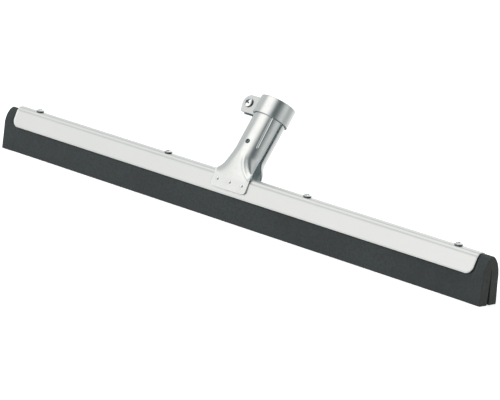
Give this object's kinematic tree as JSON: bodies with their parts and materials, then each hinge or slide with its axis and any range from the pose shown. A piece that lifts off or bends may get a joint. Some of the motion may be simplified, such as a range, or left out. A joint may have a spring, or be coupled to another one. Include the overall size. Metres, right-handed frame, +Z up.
{
  "type": "floor squeegee head",
  "caption": "Floor squeegee head: sheet-metal rail gripping a folded twin-lip foam rubber, with a leaning pressed handle socket closed by a screwed clamp ring.",
  "frame": {"origin": "middle of the rubber's foot, on the floor, midway between the two lips and midway along the rail", "axes": "+X along the rail, -Y to the front that carries the socket's fixing hole, +Z up; the handle socket leans back towards +Y"},
  "size_m": [0.55, 0.0645, 0.1021],
  "materials": {
    "rail_steel": "pale satin galvanised sheet",
    "foam_rubber": "matte cellular foam rubber, faintly mottled",
    "strip_steel": "plain galvanised bar",
    "screw_steel": "bright zinc-plated fastener",
    "socket_steel": "smooth zinc-plated pressed sheet, soft gloss",
    "ring_steel": "smooth zinc-plated strip, soft gloss"
  },
  "bodies": {
    "root": {"channel": "rail_steel", "blade": "foam_rubber", "clamp_strip": "strip_steel", "socket_front": "socket_steel", "socket_rear": "socket_steel"},
    "ring": {"clamp_ring": "ring_steel"},
    "ring_screw": {"clamp_screw": "screw_steel"},
    "ring_nut": {"clamp_nut": "screw_steel"},
    "rail_screw_a": {"rail_screw_1": "screw_steel"},
    "rail_screw_b": {"rail_screw_2": "screw_steel"},
    "rail_screw_c": {"rail_screw_3": "screw_steel"},
    "rail_screw_d": {"rail_screw_4": "screw_steel"}
  },
  "joints": [
    {"name": "ring_slide", "type": "slide", "parent": "root", "child": "ring", "axis": [0, 0.5461, 0.8377], "range_m": [0, 0.018]},
    {"name": "clamp_screw_turn", "type": "hinge", "parent": "ring", "child": "ring_screw", "pos_m": [-0.0274, 0.03731, 0.08776], "axis": [0, -0.8377, 0.5461], "range_deg": [0, 2521]},
    {"name": "clamp_nut_travel", "type": "slide", "parent": "ring", "child": "ring_nut", "axis": [0, 0.8377, -0.5461], "range_m": [0, 0.0049]},
    {"name": "rail_screw_1_turn", "type": "hinge", "parent": "root", "child": "rail_screw_a", "pos_m": [-0.24, 0, 0.0385], "axis": [0, 0, 1], "range_deg": [0, 1440]},
    {"name": "rail_screw_2_turn", "type": "hinge", "parent": "root", "child": "rail_screw_b", "pos_m": [-0.08, 0, 0.0385], "axis": [0, 0, 1], "range_deg": [0, 1440]},
    {"name": "rail_screw_3_turn", "type": "hinge", "parent": "root", "child": "rail_screw_c", "pos_m": [0.08, 0, 0.0385], "axis": [0, 0, 1], "range_deg": [0, 1440]},
    {"name": "rail_screw_4_turn", "type": "hinge", "parent": "root", "child": "rail_screw_d", "pos_m": [0.24, 0, 0.0385], "axis": [0, 0, 1], "range_deg": [0, 1440]}
  ],
  "couplings": [
    {"joint": "clamp_screw_turn", "follows": "clamp_nut_travel", "rad_per_m": 8976}
  ]
}
